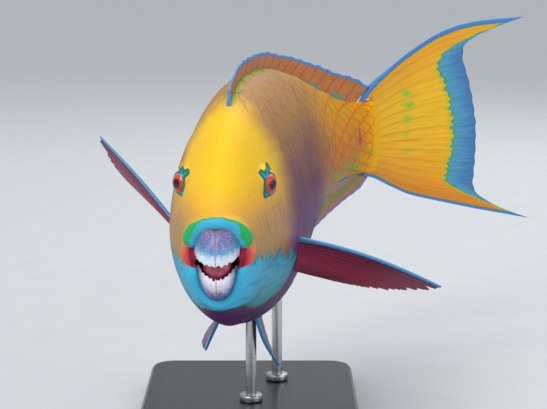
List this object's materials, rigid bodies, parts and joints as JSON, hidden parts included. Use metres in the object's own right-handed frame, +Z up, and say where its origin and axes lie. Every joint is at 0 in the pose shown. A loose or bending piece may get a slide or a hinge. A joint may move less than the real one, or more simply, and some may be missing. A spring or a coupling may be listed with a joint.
{
  "type": "parrotfish model",
  "caption": "Life-size model of a swimming parrotfish with fused beak, blue lips, swept crescent tail and spread fins, on a plain two-rod display stand.",
  "frame": {"origin": "centre of the underside of the stand's base", "axes": "+Z is up, -Y is the way the fish looks, +X is the fish's left side"},
  "size_m": [0.2705, 0.3646, 0.2152],
  "materials": {
    "head_skin": "satin, orange-yellow",
    "skin": "satin scales, orange-brown to plum",
    "orange_fin": "satin, rust orange with a blue margin",
    "yellow_fin": "satin, yellow with a blue margin",
    "crimson_fin": "satin, crimson with a blue leading edge",
    "eye": "wet gloss, orange-red iris",
    "beak": "enamel gloss, blue-white",
    "gum": "wet, crimson",
    "lip": "satin, blue-green",
    "stand_rod": "fine brushed",
    "stand_base": "black lacquer, satin"
  },
  "bodies": {
    "root": {"head": "head_skin", "trunk": "skin", "tail_stalk": "skin", "dorsal_fin": "orange_fin", "anal_fin": "orange_fin", "tail_fin": "yellow_fin", "pectoral_fin_left": "crimson_fin", "pectoral_fin_right": "crimson_fin", "pelvic_fin_left": "crimson_fin", "pelvic_fin_right": "crimson_fin", "eye_left": "eye", "eye_right": "eye", "beak_upper_left": "beak", "beak_upper_right": "beak", "beak_lower_left": "beak", "beak_lower_right": "beak", "mouth_lining": "gum", "upper_lip": "lip", "lower_lip": "lip", "mouth_corner_left": "gum", "mouth_corner_right": "gum", "stand_rod_front": "stand_rod", "stand_rod_rear": "stand_rod", "stand_base": "stand_base"}
  },
  "joints": []
}
